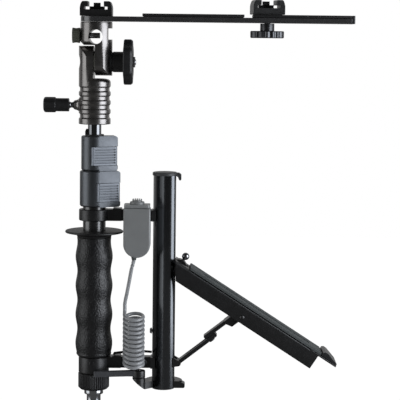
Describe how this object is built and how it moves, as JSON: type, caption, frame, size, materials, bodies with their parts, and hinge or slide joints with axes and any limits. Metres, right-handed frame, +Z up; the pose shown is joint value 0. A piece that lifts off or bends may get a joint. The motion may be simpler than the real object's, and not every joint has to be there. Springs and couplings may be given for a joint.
{
  "type": "camera flash bracket",
  "caption": "Telescoping flash bracket with a finger grip, flip locks, tilting flash and umbrella head on a long bar, side post, sloping camera platform and wired remote.",
  "frame": {"origin": "middle of the spigot's flat end, at the foot of the pole", "axes": "+Z up the pole, +X along the flash bar to its free end, +Y away from the side shown in the picture"},
  "size_m": [0.296, 0.0564, 0.408],
  "materials": {
    "black_anodised": "satin black anodised",
    "black_paint": "satin black paint",
    "gunmetal": "glossy dark gunmetal coating",
    "black_plastic": "fine-grained black plastic",
    "soft_black": "pebbled soft black",
    "bright_chrome": "polished",
    "steel": "plain steel",
    "grey_plastic": "fine-grained mid grey",
    "grey_rubber": "ribbed grey",
    "cord_grey": "smooth light grey cord"
  },
  "bodies": {
    "pole": {"spigot": "steel", "base_tube": "black_anodised", "grip": "soft_black", "hand_guard": "soft_black", "lower_arm": "black_paint", "ring_screw": "steel", "upper_arm": "black_paint", "post_tube": "black_anodised", "post_cap": "black_plastic", "post_screw": "steel", "lever_heel": "black_paint", "brace_wire": "black_paint", "hinge_lug": "black_paint", "hinge_pin": "steel", "strut_clevis": "black_paint", "lower_lock_body": "black_plastic", "lower_lock_pin": "steel", "remote_body": "grey_plastic", "remote_cap": "grey_plastic", "remote_clip": "steel", "cord_relief": "grey_rubber", "cord_lead": "cord_grey", "cord_coil": "cord_grey", "cord_socket": "black_plastic"},
    "base_nut": {"base_nut": "black_anodised"},
    "release_lever": {"release_lever": "black_paint"},
    "lower_lock_lever": {"lower_lock_lever": "black_plastic"},
    "middle_tube": {"middle_tube": "black_anodised", "upper_lock_body": "black_plastic", "upper_lock_pin": "steel", "tube_bush": "soft_black"},
    "upper_lock_lever": {"upper_lock_lever": "black_plastic"},
    "top_tube": {"top_tube": "bright_chrome", "head_stud": "steel"},
    "clamp": {"clamp_body": "gunmetal", "tilt_washer": "steel", "tilt_bolt": "steel", "tilt_nut": "steel"},
    "clamp_knob": {"clamp_knob": "soft_black", "clamp_screw": "bright_chrome"},
    "head": {"head_body": "gunmetal", "flash_bar": "black_paint", "inner_pad": "soft_black", "outer_pad": "soft_black", "bar_end_cap": "black_plastic", "left_shoe": "black_paint"},
    "tilt_knob": {"tilt_knob": "soft_black"},
    "umbrella_screw": {"umbrella_knob": "soft_black", "umbrella_screw": "steel"},
    "right_shoe": {"right_shoe": "black_paint"},
    "thumb_wheel": {"thumb_wheel": "gunmetal"},
    "platform": {"platform": "black_paint", "platform_pad": "grey_rubber", "end_stop": "black_plastic", "strut_pin": "steel"},
    "strut_lower": {"strut_lower": "black_paint"},
    "strut_upper": {"strut_upper": "black_paint"},
    "hinge_lock_screw": {"hinge_lock_screw": "bright_chrome"},
    "remote_button": {"remote_button": "grey_plastic"}
  },
  "joints": [
    {"name": "base_nut_turn", "type": "hinge", "parent": "pole", "child": "base_nut", "pos_m": [0, 0, 0.0372], "axis": [0, 0, 1], "continuous": true},
    {"name": "release_lever_turn", "type": "hinge", "parent": "pole", "child": "release_lever", "pos_m": [0.0446, -0.012, 0.0442], "axis": [0, 0, 1], "range_deg": [0, 75]},
    {"name": "lower_lock_turn", "type": "hinge", "parent": "pole", "child": "lower_lock_lever", "pos_m": [0.02035, -0.00225, 0.2227], "axis": [0, 0, 1], "range_deg": [0, 80]},
    {"name": "middle_tube_slide", "type": "slide", "parent": "pole", "child": "middle_tube", "axis": [0, 0, 1], "range_m": [0, 0.12]},
    {"name": "upper_lock_turn", "type": "hinge", "parent": "middle_tube", "child": "upper_lock_lever", "pos_m": [0.01761, -0.00159, 0.2576], "axis": [0, 0, 1], "range_deg": [0, 110]},
    {"name": "top_tube_slide", "type": "slide", "parent": "middle_tube", "child": "top_tube", "axis": [0, 0, 1], "range_m": [0, 0.12]},
    {"name": "clamp_turn", "type": "hinge", "parent": "top_tube", "child": "clamp", "pos_m": [0, 0, 0.31], "axis": [0, 0, 1], "continuous": true},
    {"name": "clamp_knob_turn", "type": "hinge", "parent": "clamp", "child": "clamp_knob", "pos_m": [-0.03, 0, 0.3061], "axis": [1, 0, 0], "continuous": true},
    {"name": "head_tilt", "type": "hinge", "parent": "clamp", "child": "head", "pos_m": [0, 0, 0.3476], "axis": [1, 0, 0], "range_deg": [-90, 90]},
    {"name": "tilt_knob_turn", "type": "hinge", "parent": "head", "child": "tilt_knob", "pos_m": [0.03, 0, 0.3476], "axis": [1, 0, 0], "continuous": true},
    {"name": "umbrella_screw_slide", "type": "slide", "parent": "head", "child": "umbrella_screw", "axis": [-1, 0, 0], "range_m": [0, 0.009]},
    {"name": "right_shoe_slide", "type": "slide", "parent": "head", "child": "right_shoe", "axis": [1, 0, 0], "range_m": [-0.004, 0.066]},
    {"name": "thumb_wheel_turn", "type": "hinge", "parent": "right_shoe", "child": "thumb_wheel", "pos_m": [0.1644, 0, 0.3776], "axis": [0, 0, 1], "continuous": true},
    {"name": "platform_fold", "type": "hinge", "parent": "pole", "child": "platform", "pos_m": [0.0818, 0, 0.1496], "axis": [0, 1, 0], "range_deg": [0, 20]},
    {"name": "strut_swing", "type": "hinge", "parent": "pole", "child": "strut_lower", "pos_m": [0.0823, 0, 0.056], "axis": [0, 1, 0], "range_deg": [0, 3.6]},
    {"name": "strut_slide", "type": "slide", "parent": "strut_lower", "child": "strut_upper", "axis": [0.79, 0, 0.6131], "range_m": [-0.0266, 0]},
    {"name": "hinge_lock_screw_turn", "type": "hinge", "parent": "pole", "child": "hinge_lock_screw", "pos_m": [0.0818, 0, 0.1496], "axis": [0.5417, 0, 0.8406], "continuous": true},
    {"name": "remote_button_press", "type": "slide", "parent": "pole", "child": "remote_button", "axis": [0, 0, -1], "range_m": [0, 0.0015], "stiffness_N_per_m": 200}
  ],
  "couplings": [
    {"joint": "strut_swing", "follows": "platform_fold", "ratio": 0.18},
    {"joint": "strut_slide", "follows": "platform_fold", "m_per_rad": -0.0762}
  ]
}
